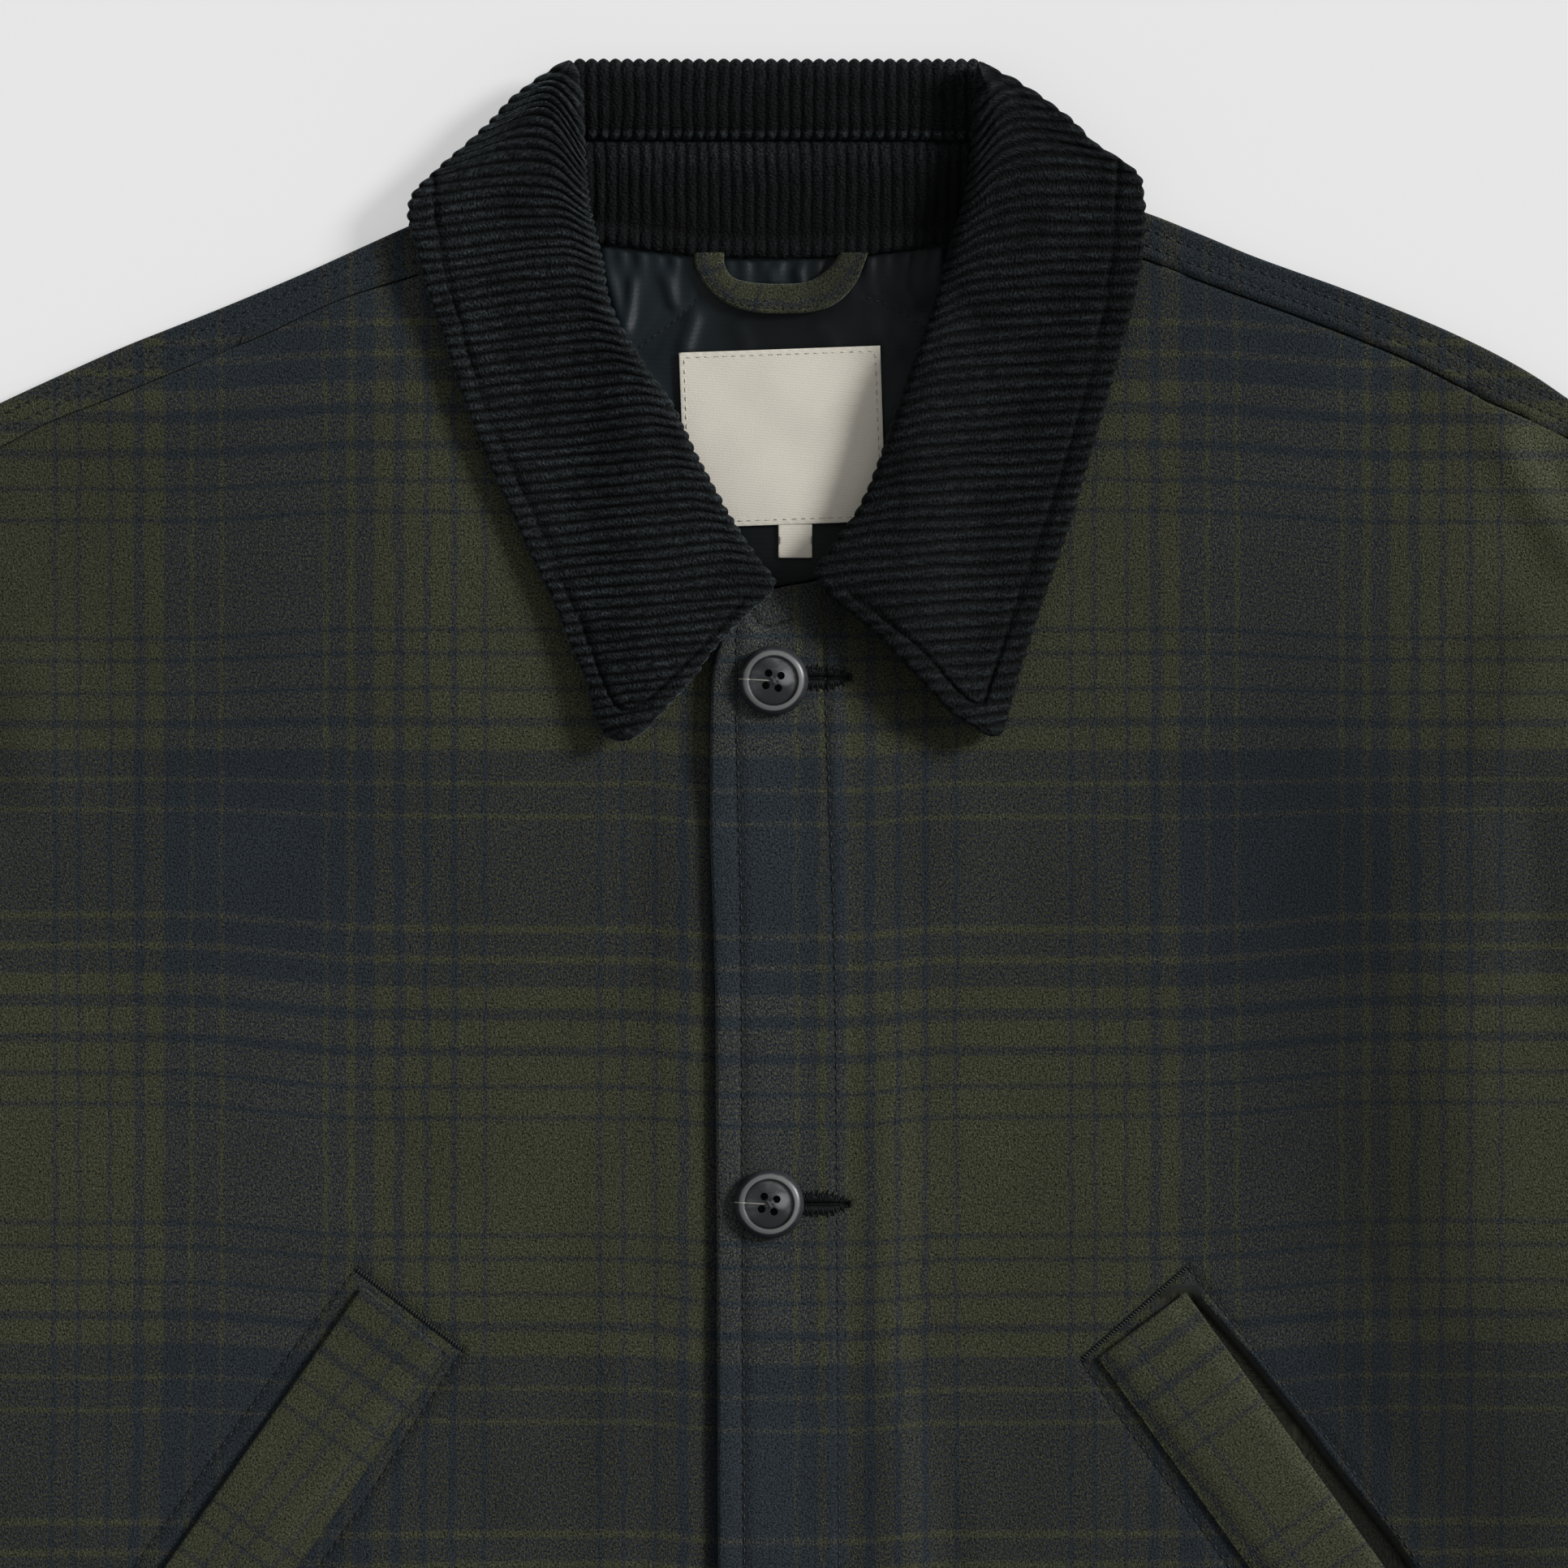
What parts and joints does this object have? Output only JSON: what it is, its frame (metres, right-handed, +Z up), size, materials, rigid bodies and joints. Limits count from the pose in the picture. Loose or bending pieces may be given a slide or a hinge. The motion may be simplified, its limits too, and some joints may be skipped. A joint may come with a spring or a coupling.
{
  "type": "utility jacket",
  "caption": "Button-front utility jacket in checked brushed wool with a corduroy collar and slanting welt pockets, laid flat and face up.",
  "frame": {"origin": "on the surface the jacket lies on, under the middle of its outline", "axes": "+X towards the wearer's left (the right of the view), +Y towards the collar, +Z up out of the surface"},
  "size_m": [1.244, 0.749, 0.0172],
  "materials": {
    "wool": "brushed twill wool, olive and dark blue check",
    "corduroy": "near-black wide-wale corduroy",
    "lining": "dark blue-green satin",
    "label": "cream woven satin, bare",
    "button": "polished dark marbled resin"
  },
  "bodies": {
    "root": {"back": "wool", "front_under": "wool", "front_upper": "wool", "sleeve_left": "wool", "sleeve_right": "wool", "welt_left": "wool", "welt_right": "wool", "hanging_loop": "wool", "collar_leaf_left": "corduroy", "collar_leaf_right": "corduroy", "collar_turned_back": "corduroy", "collar_stand": "corduroy", "neck_lining": "lining", "neck_label": "label", "label_tab": "label", "button_1": "button", "button_2": "button", "button_3": "button", "button_4": "button"}
  },
  "joints": []
}
